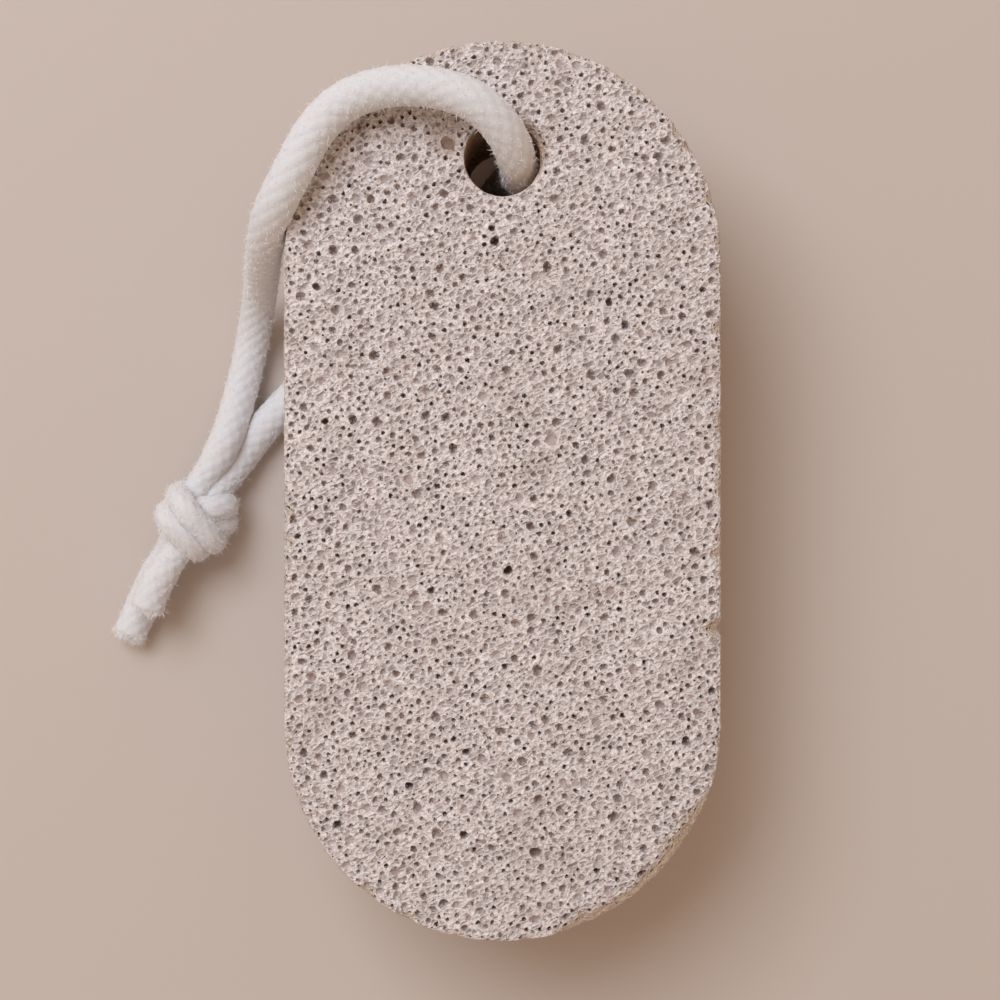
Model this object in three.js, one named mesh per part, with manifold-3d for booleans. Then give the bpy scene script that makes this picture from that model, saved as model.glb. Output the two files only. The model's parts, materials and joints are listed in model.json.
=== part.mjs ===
// A shaped pumice stone for the feet, with a cord to hang it by.
//
// The stone is one bar of foamed rock with round ends, two flat faces and a drilled hole near one end.
// Open bubbles pit it all over, and the larger ones are cut here. A soft white cord goes through the hole,
// and its two strands are tied together in one overhand knot.
//
// Millimetres, +Z up. The stone lies on its back on the plane z = 0. One strand of the cord runs under it
// and props that corner up, so the stone is tipped by a small angle. +Y points along the stone to its
// drilled end, and the origin is on the plane, under the middle of the stone.
import * as THREE from 'three';
import { mergeVertices } from 'three/addons/utils/BufferGeometryUtils.js';
import Module from 'manifold-3d';

// Stone
const LENGTH = 100;
const WIDTH = 48.6;
const THICKNESS = 25;
const RIM_WEAR = 0.8; // rounding worn onto both rims
const HOLE_RADIUS = 4.2;
const HOLE_Y = 36.9; // the hole's axis, from the middle of the stone
const END_RADIUS = WIDTH / 2;
const END_CENTRE = LENGTH / 2 - END_RADIUS;

// Bubbles that the faces and the edge cut open
const FACE_BUBBLES = 68; // tried on each face, before the hole and the rim drop some
const EDGE_BUBBLES = 42;
const SMALL_BUBBLE = 0.75; // radius
const LARGE_BUBBLE = 1.5;
const SUNK = 0.35; // depth of a bubble's centre, as a share of its radius
const RIM_MARGIN = 2;
const SHAKE = 0.12; // how far the scatter is shaken, as a share of the face

// The bubbles that stand out on the front face: place and radius
const MARKED_BUBBLES = [
  [0.6, -8.8, 1.0],
  [3.6, -40.0, 1.3],
  [-7.9, -11.0, 1.0],
  [-20.6, 22.6, 1.1],
  [-16.7, 22.8, 1.0],
  [11.8, 20.9, 1.0],
  [5.4, 5.7, 1.1],
  [-6.0, 38.4, 1.5],
];

// Chips on the front rim: the end's lower right is crumbled, and the right side has one notch
const CRUMBLED = { from: -72, to: -22, count: 10, radius: 1.5 }; // degrees round the end's centre
const NOTCH = { y: -15.2, radius: 1.3 };

// Cord
const CORD = 4; // diameter
const CORD_SIDES = 10;
const LOOP_STEPS = 60;
const END_STEPS = 6;
const GAP = 0.3; // clearance between neighbouring solids
const STRAND_HEADING = new THREE.Vector3(-0.736, -0.677, 0); // of the strand under the stone
const TIP = THREE.MathUtils.degToRad(2.37); // the stone's tip over that strand

// The loop's route: from the knot over the rim, down through the hole, under the stone and back to the knot
const LOOP_ROUTE = [
  [-35.4, 0.6, 6.6],
  [-34.2, 4.9, 5.2],
  [-33.1, 9.7, 3.5],
  [-32.0, 14.5, 2.4],
  [-30.9, 19.4, 2.8],
  [-29.8, 23.3, 5.8],
  [-28.8, 25.5, 10.4],
  [-28.0, 26.4, 15.2],
  [-27.2, 27.0, 20.0],
  [-26.2, 28.1, 25.0],
  [-24.9, 30.6, 29.0],
  [-22.6, 34.3, 31.0],
  [-20.1, 38.8, 31.4],
  [-16.9, 42.0, 31.4],
  [-12.0, 43.6, 31.6],
  [-6.4, 43.3, 31.9],
  [-2.0, 41.6, 31.6],
  [1.0, 38.6, 29.2],
  [2.0, 36.2, 25.0],
  [2.0, 35.8, 20.0],
  [1.7, 36.8, 14.8],
  [1.2, 37.9, 9.8],
  [-0.2, 37.2, 5.6],
  [-2.6, 35.0, 3.0],
  [-6.0, 31.6, 2.1],
  [-10.8, 27.0, 2.1],
  [-16.0, 22.0, 2.1],
  [-21.6, 16.6, 2.1],
  [-27.0, 11.2, 2.1],
  [-30.0, 7.9, 2.1],
  [-32.2, 5.2, 2.1],
  [-34.4, 2.2, 2.1],
  [-35.9, -0.2, 2.1],
];

// The two cut ends, from the knot outwards
const LONG_END_ROUTE = [
  [-41.4, -6.1, 2.3],
  [-43.1, -10.2, 2.1],
  [-44.8, -14.0, 2.1],
  [-46.4, -17.8, 2.1],
];
const SHORT_END_ROUTE = [
  [-40.4, -5.7, 6.2],
  [-41.6, -8.8, 6.4],
  [-42.5, -11.7, 6.4],
  [-43.4, -14.6, 6.3],
];

// Knot: a lump along the cord with one turn slung round it
const KNOT_CENTRE = new THREE.Vector3(-37.2, -2.9, 4.7);
const KNOT_HEADING = new THREE.Vector3(-0.42, -0.91, 0);
const KNOT_HALF = new THREE.Vector3(6.2, 4.4, 4.4); // along the heading, across it, upwards
const TURN = { ring: 2.9, strand: 1.7, slant: THREE.MathUtils.degToRad(38) };

const pumice = new THREE.MeshStandardMaterial({ color: 0xd8cac4, roughness: 0.95, metalness: 0 });
const braid = new THREE.MeshStandardMaterial({ color: 0xf2f0f2, roughness: 0.85, metalness: 0 });

const wasm = await Module();
wasm.setup();

/** A closed geometry as a solid that can be joined and cut. */
function solidOf(geometry) {
  const bare = geometry.clone();
  bare.deleteAttribute('normal');
  bare.deleteAttribute('uv');
  const merged = mergeVertices(bare, 1e-4);
  return new wasm.Manifold(
    new wasm.Mesh({
      numProp: 3,
      vertProperties: merged.attributes.position.array,
      triVerts: new Uint32Array(merged.index.array),
    }),
  );
}

/** A mesh of a solid, under the name that a person would give the piece. */
function meshOf(name, solid, material) {
  const { vertProperties, triVerts } = solid.getMesh();
  const geometry = new THREE.BufferGeometry();
  geometry.setAttribute('position', new THREE.BufferAttribute(vertProperties, 3));
  geometry.setIndex(new THREE.BufferAttribute(triVerts, 1));
  geometry.computeVertexNormals();
  const mesh = new THREE.Mesh(geometry, material);
  mesh.name = name;
  return mesh;
}

/** The stone's outline, two half circles joined by straight sides, grown outwards by some amount. */
function outline(grow) {
  const radius = END_RADIUS + grow;
  return new THREE.Shape()
    .absarc(0, END_CENTRE, radius, 0, Math.PI)
    .absarc(0, -END_CENTRE, radius, Math.PI, 2 * Math.PI)
    .closePath();
}

/** The blank bar with worn rims and the drilled hole, grown all over by some amount. */
function blankBar(grow) {
  const bar = new THREE.ExtrudeGeometry(outline(grow), {
    depth: THICKNESS + 2 * grow - 2 * RIM_WEAR,
    curveSegments: 20,
    bevelSize: RIM_WEAR,
    bevelOffset: -RIM_WEAR,
    bevelThickness: RIM_WEAR,
    bevelSegments: 2,
  });
  bar.translate(0, 0, RIM_WEAR - grow);
  const drill = new THREE.CylinderGeometry(HOLE_RADIUS - grow, HOLE_RADIUS - grow, 3 * THICKNESS, 32);
  drill.rotateX(Math.PI / 2);
  drill.translate(0, HOLE_Y, THICKNESS / 2);
  return solidOf(bar).subtract(solidOf(drill));
}

/** A fraction that looks random, the same each time for the same number. */
function fraction(number) {
  return (Math.abs(Math.sin(number * 12.9898)) * 43758.5453) % 1;
}

/** Two places and a size between 0 and 1: member i of an even scatter, each place shaken a little. */
function scatter(i) {
  const across = (0.5 + 0.7548776662 * i + SHAKE * fraction(i)) % 1;
  const along = (0.5 + 0.569840291 * i + SHAKE * fraction(i + 0.5)) % 1;
  return [across, along, fraction(i + 0.25)];
}

/** One bubble as a rough ball: its centre is sunk below a surface point, along the way out. */
function bubble(point, wayOut, radius, turn) {
  const ball = new THREE.IcosahedronGeometry(radius, 0);
  ball.rotateX(turn * 7);
  ball.rotateY(turn * 11);
  const centre = point.clone().addScaledVector(wayOut, -SUNK * radius);
  ball.translate(centre.x, centre.y, centre.z);
  return solidOf(ball);
}

/** A radius between the small and the large bubble, with many small ones for each large one. */
function bubbleRadius(share) {
  return SMALL_BUBBLE + (LARGE_BUBBLE - SMALL_BUBBLE) * share ** 3;
}

/** Whether a point of a face lies clear of the rim and of the hole. */
function onFace(x, y) {
  const reach = Math.hypot(x, Math.max(Math.abs(y) - END_CENTRE, 0));
  const fromHole = Math.hypot(x, y - HOLE_Y);
  return reach < END_RADIUS - RIM_MARGIN && fromHole > HOLE_RADIUS + RIM_MARGIN;
}

/** The bubbles scattered over one face, at the height z, facing up or down. */
function faceBubbles(z, facing, first) {
  const wayOut = new THREE.Vector3(0, 0, facing);
  const made = [];
  for (let i = first; i < first + FACE_BUBBLES; i++) {
    const [across, along, size] = scatter(i);
    const x = (across - 0.5) * WIDTH;
    const y = (along - 0.5) * LENGTH;
    if (onFace(x, y)) made.push(bubble(new THREE.Vector3(x, y, z), wayOut, bubbleRadius(size), i));
  }
  return made;
}

/** The bubbles scattered round the edge. */
function edgeBubbles() {
  const path = outline(0);
  const made = [];
  for (let i = 0; i < EDGE_BUBBLES; i++) {
    const [round, up, size] = scatter(i);
    const place = path.getPointAt(round);
    const tangent = path.getTangentAt(round);
    const point = new THREE.Vector3(place.x, place.y, RIM_MARGIN + up * (THICKNESS - 2 * RIM_MARGIN));
    const wayOut = new THREE.Vector3(tangent.y, -tangent.x, 0);
    made.push(bubble(point, wayOut, bubbleRadius(size), i));
  }
  return made;
}

/** The bubbles that stand out on the front face. */
function markedBubbles() {
  const wayOut = new THREE.Vector3(0, 0, 1);
  return MARKED_BUBBLES.map(([x, y, radius], i) =>
    bubble(new THREE.Vector3(x, y, THICKNESS), wayOut, radius, i),
  );
}

/** The bites out of the front rim. */
function chips() {
  const made = [];
  const wayOut = new THREE.Vector3(0, 0, -1);
  for (let i = 0; i < CRUMBLED.count; i++) {
    const share = i / (CRUMBLED.count - 1);
    const angle = THREE.MathUtils.degToRad(THREE.MathUtils.lerp(CRUMBLED.from, CRUMBLED.to, share));
    const rim = new THREE.Vector3(Math.cos(angle), Math.sin(angle), 0).multiplyScalar(END_RADIUS);
    rim.add(new THREE.Vector3(0, -END_CENTRE, THICKNESS));
    made.push(bubble(rim, wayOut, CRUMBLED.radius * (0.7 + 0.3 * scatter(i)[0]), i));
  }
  made.push(bubble(new THREE.Vector3(END_RADIUS, NOTCH.y, THICKNESS), wayOut, NOTCH.radius, 1));
  return made;
}

/** The whole stone in its own frame: the back face on z = 0 and the front face up. */
function stone() {
  const cuts = [
    ...faceBubbles(THICKNESS, 1, 1),
    ...faceBubbles(0, -1, 1 + FACE_BUBBLES),
    ...edgeBubbles(),
    ...markedBubbles(),
    ...chips(),
  ];
  return meshOf('pumice_stone', cuts.reduce((rock, cut) => rock.subtract(cut), blankBar(0)), pumice);
}

/** A round cord along a route of points. */
function cordAlong(route, steps) {
  const section = new THREE.Shape();
  for (let i = 0; i < CORD_SIDES; i++) {
    const angle = (2 * Math.PI * i) / CORD_SIDES;
    const corner = new THREE.Vector2(Math.cos(angle), Math.sin(angle)).multiplyScalar(CORD / 2);
    if (i === 0) section.moveTo(corner.x, corner.y);
    else section.lineTo(corner.x, corner.y);
  }
  const extrudePath = new THREE.CatmullRomCurve3(route.map((point) => new THREE.Vector3(...point)));
  return solidOf(new THREE.ExtrudeGeometry(section, { steps, bevelEnabled: false, extrudePath }));
}

/** The knot's lump with its slanting turn, grown all over by some amount. */
function knot(grow) {
  const up = new THREE.Vector3(0, 0, 1);
  const across = new THREE.Vector3().crossVectors(up, KNOT_HEADING);
  const place = new THREE.Matrix4().makeBasis(KNOT_HEADING, across, up).setPosition(KNOT_CENTRE);
  const lump = new THREE.SphereGeometry(1, 18, 12);
  lump.scale(KNOT_HALF.x + grow, KNOT_HALF.y + grow, KNOT_HALF.z + grow);
  const turn = new THREE.TorusGeometry(TURN.ring, TURN.strand + grow, 10, 20);
  turn.rotateY(Math.PI / 2);
  turn.rotateZ(TURN.slant);
  return solidOf(lump.applyMatrix4(place)).add(solidOf(turn.applyMatrix4(place)));
}

/** The stone tipped over the strand under it, with the middle of its box over the origin. */
function layDown(group) {
  group.quaternion.setFromAxisAngle(STRAND_HEADING.clone().normalize(), -TIP);
  const box = new THREE.Box3().setFromObject(group, true);
  const middle = box.getCenter(new THREE.Vector3());
  group.position.set(-middle.x, -middle.y, -box.min.z);
  group.updateMatrix();
}

const lying = new THREE.Group();
lying.add(stone());
layDown(lying);

const stoneRoom = solidOf(meshOf('', blankBar(GAP), pumice).geometry.applyMatrix4(lying.matrix));
const knotRoom = knot(GAP);
const loop = cordAlong(LOOP_ROUTE, LOOP_STEPS).subtract(stoneRoom).subtract(knotRoom);
const longEnd = cordAlong(LONG_END_ROUTE, END_STEPS).subtract(knotRoom);
const shortEnd = cordAlong(SHORT_END_ROUTE, END_STEPS).subtract(knotRoom);

const part = new THREE.Group();
part.add(
  lying,
  meshOf('cord_loop', loop, braid),
  meshOf('cord_knot', knot(0), braid),
  meshOf('cord_long_end', longEnd, braid),
  meshOf('cord_short_end', shortEnd, braid),
);

export default part;
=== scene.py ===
# %% [markdown]
# # A pumice stone on its cord
# The real object is a bar of pumice: two flat sawn faces, straight sides, two round ends and one
# drilled hole. A soft braided cord goes through the hole and is tied in a doubled overhand knot.
# The CAD part gives the sizes. This lesson adds what it can't hold: thousands of burst bubbles in
# the stone, the braid of the cord and its knot. All lengths are in metres, in the part's frame.

import json
import math
from collections import namedtuple

import bpy
import numpy as np
from mathutils import Matrix, Vector
from mathutils.geometry import delaunay_2d_cdt


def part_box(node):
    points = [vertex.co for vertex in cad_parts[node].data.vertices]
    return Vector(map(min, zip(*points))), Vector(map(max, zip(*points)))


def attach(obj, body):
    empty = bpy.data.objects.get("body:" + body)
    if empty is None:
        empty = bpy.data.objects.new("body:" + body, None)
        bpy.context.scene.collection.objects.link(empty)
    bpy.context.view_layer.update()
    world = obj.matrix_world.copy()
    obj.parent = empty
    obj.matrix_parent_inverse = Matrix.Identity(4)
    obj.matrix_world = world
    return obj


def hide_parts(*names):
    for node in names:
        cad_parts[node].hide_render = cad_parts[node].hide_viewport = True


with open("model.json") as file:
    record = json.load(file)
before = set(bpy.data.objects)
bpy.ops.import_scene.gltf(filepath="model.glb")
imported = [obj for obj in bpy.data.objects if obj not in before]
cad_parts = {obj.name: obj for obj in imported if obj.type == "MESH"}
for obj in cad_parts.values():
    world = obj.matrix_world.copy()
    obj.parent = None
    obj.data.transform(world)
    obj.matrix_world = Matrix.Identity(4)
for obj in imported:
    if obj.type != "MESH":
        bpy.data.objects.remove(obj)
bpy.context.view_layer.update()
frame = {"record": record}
MM = 0.001

# %% [markdown]
# ## Where the stone lies
# The bar lies on its back face, tipped a little by its own cord, which passes under it. Everything
# on the stone is easiest to work out in the stone's own frame, with the back face at z = 0 and the
# hole towards +y. The record's mount gives the direction that the back face looks in, and the CAD
# solid's box gives its middle, so both frames agree without any fitting by eye.

# %% The stone's sizes and its place
LENGTH = 100 * MM
WIDTH = 48.6 * MM
THICKNESS = 25 * MM
HOLE_RADIUS = 4.2 * MM
HOLE_Y = 36.9 * MM
END_RADIUS = WIDTH / 2
END_CENTRE = LENGTH / 2 - END_RADIUS
MIDDLE = np.array([0, 0, THICKNESS / 2])

stone_centre = np.mean([list(corner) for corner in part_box("pumice_stone")], axis=0)
face_direction = -Vector(frame["record"]["mounts"][0]["axis"])
tip = np.array(Vector((0, 0, 1)).rotation_difference(face_direction).to_matrix())


def to_part(points):
    """Turns points of the stone's own frame about its middle, then moves them to the part's frame."""
    return (np.asarray(points) - MIDDLE) @ tip.T + stone_centre


def to_stone(points):
    """The way back from the part's frame to the stone's own."""
    return (np.asarray(points) - stone_centre) @ tip + MIDDLE


print("the stone is tipped by", round(math.degrees(math.acos(tip[2, 2])), 2), "degrees")

# %% [markdown]
# ## The camera
# The picture looks straight at the front face from about 23 cm, so the camera stands on that face's
# normal. The lens follows from the width of face that the picture covers.

# %% Camera
VIEW_DISTANCE = 230 * MM
PICTURE_WIDTH = 110.6 * MM
PICTURE_CENTRE = (-0.28 * MM, -1.0 * MM)
SENSOR_MM = 36

camera_data = bpy.data.cameras.new("camera")
camera_data.sensor_width = SENSOR_MM
camera_data.lens = SENSOR_MM * VIEW_DISTANCE / PICTURE_WIDTH
camera = bpy.data.objects.new("camera", camera_data)
bpy.context.collection.objects.link(camera)
camera_place = np.eye(4)
camera_place[:3, :3] = tip
camera_place[:3, 3] = to_part([*PICTURE_CENTRE, THICKNESS + VIEW_DISTANCE])
camera.matrix_world = Matrix(camera_place)
bpy.context.scene.camera = camera
print("lens", round(camera_data.lens, 1), "mm")

# %% [markdown]
# ## The cord's line
# The cord is one limp piece, 4 mm thick. From the short end it goes through the knot, over the
# stone's rim, down the hole, back under the stone, through the knot again and out as the long end.
# The route is the CAD part's own list of points. A centripetal curve through them is cut into
# equal steps, which is what the later cells need.

# %% Route of the loop and of the ends
CORD = 4 * MM
STEP = 0.8 * MM
POINTS_BETWEEN = 20

LOOP_ROUTE = MM * np.array([
    (-35.4, 0.6, 6.6), (-34.2, 4.9, 5.2), (-33.1, 9.7, 3.5), (-32.0, 14.5, 2.4), (-30.9, 19.4, 2.8),
    (-29.8, 23.3, 5.8), (-28.8, 25.5, 10.4), (-28.0, 26.4, 15.2), (-27.2, 27.0, 20.0),
    (-26.2, 28.1, 25.0), (-24.9, 30.6, 29.0), (-22.6, 34.3, 31.0), (-20.1, 38.8, 31.4),
    (-16.9, 42.0, 31.4), (-12.0, 43.6, 31.6), (-6.4, 43.3, 31.9), (-2.0, 41.6, 31.6),
    (1.0, 38.6, 29.2), (2.0, 36.2, 25.0), (2.0, 35.8, 20.0), (1.7, 36.8, 14.8), (1.2, 37.9, 9.8),
    (-0.2, 37.2, 5.6), (-2.6, 35.0, 3.0), (-6.0, 31.6, 2.1), (-10.8, 27.0, 2.1), (-16.0, 22.0, 2.1),
    (-21.6, 16.6, 2.1), (-27.0, 11.2, 2.1), (-30.0, 7.9, 2.1), (-32.2, 5.2, 2.1), (-34.4, 2.2, 2.1),
    (-35.9, -0.2, 2.1),
])
LONG_END_ROUTE = MM * np.array([
    (-41.4, -6.1, 2.3), (-43.1, -10.2, 2.1), (-44.8, -14.0, 2.1), (-46.4, -17.8, 2.1),
])
SHORT_END_ROUTE = MM * np.array([
    (-40.4, -5.7, 6.2), (-41.6, -8.8, 6.4), (-42.5, -11.7, 6.4), (-43.4, -14.6, 6.3),
])


def equal_steps(points, step):
    """Points at equal distances along a line of straight pieces, from its first to its last point."""
    run = np.concatenate([[0], np.cumsum(np.linalg.norm(np.diff(points, axis=0), axis=1))])
    count = max(2, round(run[-1] / step) + 1)
    wanted = np.linspace(0, run[-1], count)
    return np.stack([np.interp(wanted, run, points[:, axis]) for axis in range(3)], axis=1)


def curve_through(points, step):
    """A smooth curve through points: cubic pieces whose slopes are those of parabolas through each
    three neighbours, spaced by the root of their distances, then cut into equal steps."""
    points = np.asarray(points)
    ends = np.concatenate([[2 * points[0] - points[1]], points, [2 * points[-1] - points[-2]]])
    gap = np.sqrt(np.linalg.norm(np.diff(ends, axis=0), axis=1))[:, None]
    chord = np.diff(ends, axis=0) / gap
    slope = (chord[:-1] * gap[1:] + chord[1:] * gap[:-1]) / (gap[:-1] + gap[1:])
    share = np.linspace(0, 1, POINTS_BETWEEN, endpoint=False)[None, :, None]
    start, end = points[:-1, None], points[1:, None]
    leave, arrive = (slope[:-1] * gap[1:-1])[:, None], (slope[1:] * gap[1:-1])[:, None]
    bend = 3 * (end - start) - 2 * leave - arrive
    twist = 2 * (start - end) + leave + arrive
    curve = start + leave * share + bend * share**2 + twist * share**3
    return equal_steps(np.concatenate([curve.reshape(-1, 3), points[-1:]]), step)


loop_line = curve_through(LOOP_ROUTE, STEP)
print("the loop is", round((len(loop_line) - 1) * STEP / MM), "mm long")

# %% [markdown]
# ## The knot
# A doubled overhand knot has each of its two strands do the same thing: wind one and a half times
# round the knot's axis, go back along the outside, and wind one and a half times again. Drawn by
# hand, such strands cut through each other. So the knot starts loose, as a formula, and is pulled
# tight: every point moves towards the middle of its neighbours, while strands push each other
# apart and stay above the floor.

# %% The loose knot
KNOT_CENTRE = np.array((-37.2, -2.9, 4.7)) * MM
KNOT_HEADING = np.array((-0.42, -0.91, 0.0))
LOOSE = 9 * MM
LOOSE_REACH = 7 * MM
LOOSE_RADIUS = 3 * MM
LOOSE_BELLY = 5 * MM
LOOSE_POINTS = 60
STRAND_OFFSET = CORD * 0.35
KNOT_STEP = 1.1 * MM
FIRST_ANGLE = math.radians(320)


def loose_overhand(side):
    """One strand of the loose knot. Along the axis it goes forward, back and forward again. Its angle
    grows by three half turns on each way forward and rests on the way back, where its distance
    from the axis swells by the belly. side is +1 or -1: the strands lie a third of a cord to each
    side of that line, along the axis on the way forward and outwards on the way back."""
    share = np.linspace(0, 1, LOOSE_POINTS)
    along = np.concatenate([2 * share - 1, np.cos(math.pi * share), 2 * share - 1]) * LOOSE_REACH
    half_turns = np.concatenate([3 * share, 3 + 0 * share, 3 + 3 * share])
    swell = np.concatenate([0 * share, np.sin(math.pi * share), 0 * share])
    angle = FIRST_ANGLE + math.pi * half_turns
    radius = LOOSE_RADIUS + LOOSE_BELLY * swell + side * STRAND_OFFSET * swell
    ahead = KNOT_HEADING / np.linalg.norm(KNOT_HEADING)
    across = np.cross((0, 0, 1), ahead)
    along = along + side * STRAND_OFFSET * (1 - swell)
    turned = np.outer(np.cos(angle), across) + np.outer(np.sin(angle), (0, 0, 1))
    return KNOT_CENTRE + np.outer(along, ahead) + radius[:, None] * turned


def outside_knot(line):
    """The points of a line that are clear of the loose knot."""
    return line[np.linalg.norm(line - KNOT_CENTRE, axis=1) > LOOSE]


short_end = outside_knot(curve_through(SHORT_END_ROUTE, STEP))
long_end = outside_knot(curve_through(LONG_END_ROUTE, STEP))
free_loop = outside_knot(loop_line)
upper_knot = equal_steps(loose_overhand(1), KNOT_STEP)
lower_knot = equal_steps(loose_overhand(-1), KNOT_STEP)
stretches = [
    (short_end[::-1], False),
    (upper_knot[::-1], True),
    (free_loop, False),
    (lower_knot, True),
    (long_end, False),
]
in_knot = np.concatenate([np.full(len(stretch), knotted) for stretch, knotted in stretches])
cord_line = np.concatenate([stretch for stretch, _ in stretches])
print("points in the knot:", in_knot.sum(), "of", len(cord_line))

# %% [markdown]
# The cord's surface has to stay out of the stone, so later cells need the distance to it. For a plate
# with round ends and a hole there is one distance in the plan and one from the faces. Inside, the
# larger of them counts. Outside, they combine as the two sides of a right triangle.

# %% Distance to the stone
NUDGE = 1e-5
NEVER_ZERO = 1e-9


def distance_to_stone(points):
    """Distance from the stone's plain shape, negative inside it: in the plan, from the outline or from
    the hole, whichever is more; across the faces, from the middle plane less half the thickness."""
    own = to_stone(points)
    past_end = own[:, 1] - np.clip(own[:, 1], -END_CENTRE, END_CENTRE)
    plan = np.hypot(own[:, 0], past_end) - END_RADIUS
    plan = np.maximum(plan, HOLE_RADIUS - np.hypot(own[:, 0], own[:, 1] - HOLE_Y))
    faces = np.abs(own[:, 2] - THICKNESS / 2) - THICKNESS / 2
    outside = np.hypot(np.maximum(plan, 0), np.maximum(faces, 0))
    return outside + np.minimum(np.maximum(plan, faces), 0)


def pushed_out(points, clearance):
    """Moves points that are nearer to the stone than clearance straight away from it. The way is the
    slope of the distance, measured with a nudge along each axis."""
    distance = distance_to_stone(points)
    slope = np.stack([distance_to_stone(points + NUDGE * axis) - distance for axis in np.eye(3)], axis=1)
    slope /= np.maximum(np.linalg.norm(slope, axis=1, keepdims=True), NEVER_ZERO)
    return points + slope * np.maximum(clearance - distance, 0)[:, None]


hole_middle = to_part([[0, HOLE_Y, THICKNESS / 2]])
print("the hole's middle is", round(distance_to_stone(hole_middle)[0] / MM, 1), "mm from the stone")

# %% [markdown]
# Pulling tight is a loop of small steps. Outside the knot the points are held near the route, and
# the two cut ends are put back at every step. In the knot the soft braid is squeezed thinner.

# %% Pulling the knot tight
TIGHTEN_STEPS = 600
TIGHT_CORD = 2.3 * MM
PRESSED_CORD = CORD * 0.85
HELD = 0.15
SOFT_IN_KNOT = 0.45
SOFT_OUTSIDE = 0.2
SNUG = 0.02
CENTRING = 0.1
NEIGHBOURS = 10
CONTACT_REACH = 16 * MM
SQUEEZED_WITHIN = (5.5 * MM, 8 * MM)

anchor = cord_line.copy()
hold = np.where(in_knot, 0, HELD)[:, None]
hold[[0, -1]] = 1
soft = np.where(in_knot, SOFT_IN_KNOT, SOFT_OUTSIDE)[:, None]
near_knot = np.flatnonzero(np.linalg.norm(anchor - KNOT_CENTRE, axis=1) < CONTACT_REACH)
apart = np.abs(near_knot[:, None] - near_knot[None]) > NEIGHBOURS


def squeezed(points, loose, tight):
    """A thickness that is loose outside the knot and tight in it, by the distance from its centre."""
    return np.interp(np.linalg.norm(points - KNOT_CENTRE, axis=1), SQUEEZED_WITHIN, (tight, loose))


for _ in range(TIGHTEN_STEPS):
    middles = (cord_line[:-2] + cord_line[2:]) / 2
    cord_line[1:-1] += soft[1:-1] * (middles - cord_line[1:-1])
    cord_line += hold * (anchor - cord_line)
    thick = squeezed(cord_line, PRESSED_CORD, TIGHT_CORD)
    close = cord_line[near_knot]
    between = close[:, None] - close[None]
    distance = np.linalg.norm(between, axis=2) + NEVER_ZERO
    touching = (thick[near_knot][:, None] + thick[near_knot][None]) / 2
    overlap = np.where(apart, np.maximum(touching - distance, 0), 0)
    push = (between * (overlap / distance)[:, :, None]).sum(axis=1)
    cord_line[near_knot] += push / np.maximum((overlap > 0).sum(axis=1), 1)[:, None]
    to_centre = KNOT_CENTRE - cord_line[in_knot]
    cord_line[in_knot] += SNUG * to_centre + CENTRING * to_centre.mean(axis=0) * (1, 1, 0)
    cord_line[:, 2] = np.maximum(cord_line[:, 2], thick / 2)

knot_points = cord_line[np.linalg.norm(cord_line - KNOT_CENTRE, axis=1) < SQUEEZED_WITHIN[1]]
print("the tight knot is", np.round((np.ptp(knot_points, axis=0) + TIGHT_CORD) / MM, 1).tolist(), "mm")

# %% [markdown]
# ## The braid
# The cord's sleeve is a braid: eight strands wind one way, eight the other, and they take turns on
# top. Round the cord and along it, two slanted coordinates count the strands of each family. Each
# strand is a rounded ridge that dips where it goes under. That gives a height for every place on
# the sleeve, and the sleeve is a profile carried along the cord's line.

# %% The sleeve's shape
RING_STEP = 0.17 * MM
AROUND = 44
STRANDS = 8
STRAND_PITCH = 2.1 * MM
STRAND_ROUND = 1.9
STRAND_DIP = 0.45
RELIEF = 0.2 * MM
MEAN_HEIGHT = 0.6
KNOT_RADIUS = 1.6 * MM
LINE_SMOOTHING = 9
FIRST_SIDE = (0.3, 0.5, 0.8)


def smoothed(values, width):
    """A running mean over width neighbours, done twice, with the ends held."""
    kernel = np.ones(width) / width
    for _ in range(2):
        padded = np.pad(values, (width // 2, width - 1 - width // 2), mode="edge")
        values = np.convolve(padded, kernel, mode="valid")
    return values


def rings_frame(line):
    """For each point of a line its tangent and two directions across it, which turn as little as they
    can from point to point: each is the last one with the new tangent's share taken out."""
    tangent = np.gradient(line, axis=0)
    tangent /= np.linalg.norm(tangent, axis=1, keepdims=True)
    side = np.empty_like(line)
    last = np.cross(tangent[0], FIRST_SIDE)
    for i, ahead in enumerate(tangent):
        last = last - ahead * last.dot(ahead)
        last /= np.linalg.norm(last)
        side[i] = last
    return tangent, side, np.cross(tangent, side)


def braid_height(along, turn):
    """Height of the braid, 1 at its top. Two counts, turn plus and minus the way along, number the strands
    of each family. The sum of their whole parts, odd or even, says which family is on top. The top
    strand's height is a half round across it, and it dips towards both ends of the bridge."""
    right = STRANDS * turn + along / STRAND_PITCH
    left = STRANDS * turn - along / STRAND_PITCH
    right_on_top = (np.floor(right) + np.floor(left)) % 2 == 0
    across_right, across_left = right % 1 - 0.5, left % 1 - 0.5
    across = np.where(right_on_top, across_right, across_left)
    lengthwise = np.where(right_on_top, across_left, across_right)
    ridge = np.sqrt(1 - (STRAND_ROUND * across) ** 2)
    return ridge * (1 - STRAND_DIP + STRAND_DIP * np.cos(math.pi * lengthwise))


fine_line = equal_steps(cord_line, RING_STEP)
fine_line = np.stack([smoothed(fine_line[:, axis], LINE_SMOOTHING) for axis in range(3)], axis=1)
distance_along = np.concatenate([[0], np.cumsum(np.linalg.norm(np.diff(fine_line, axis=0), axis=1))])
cord_length = distance_along[-1]
print("the cord is", round(cord_length / MM, 1), "mm long, in", len(fine_line), "rings")

# %% [markdown]
# A mesh is put together from arrays of points and triangles with foreach_set, which is quick even
# for a hundred thousand points.

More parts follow.
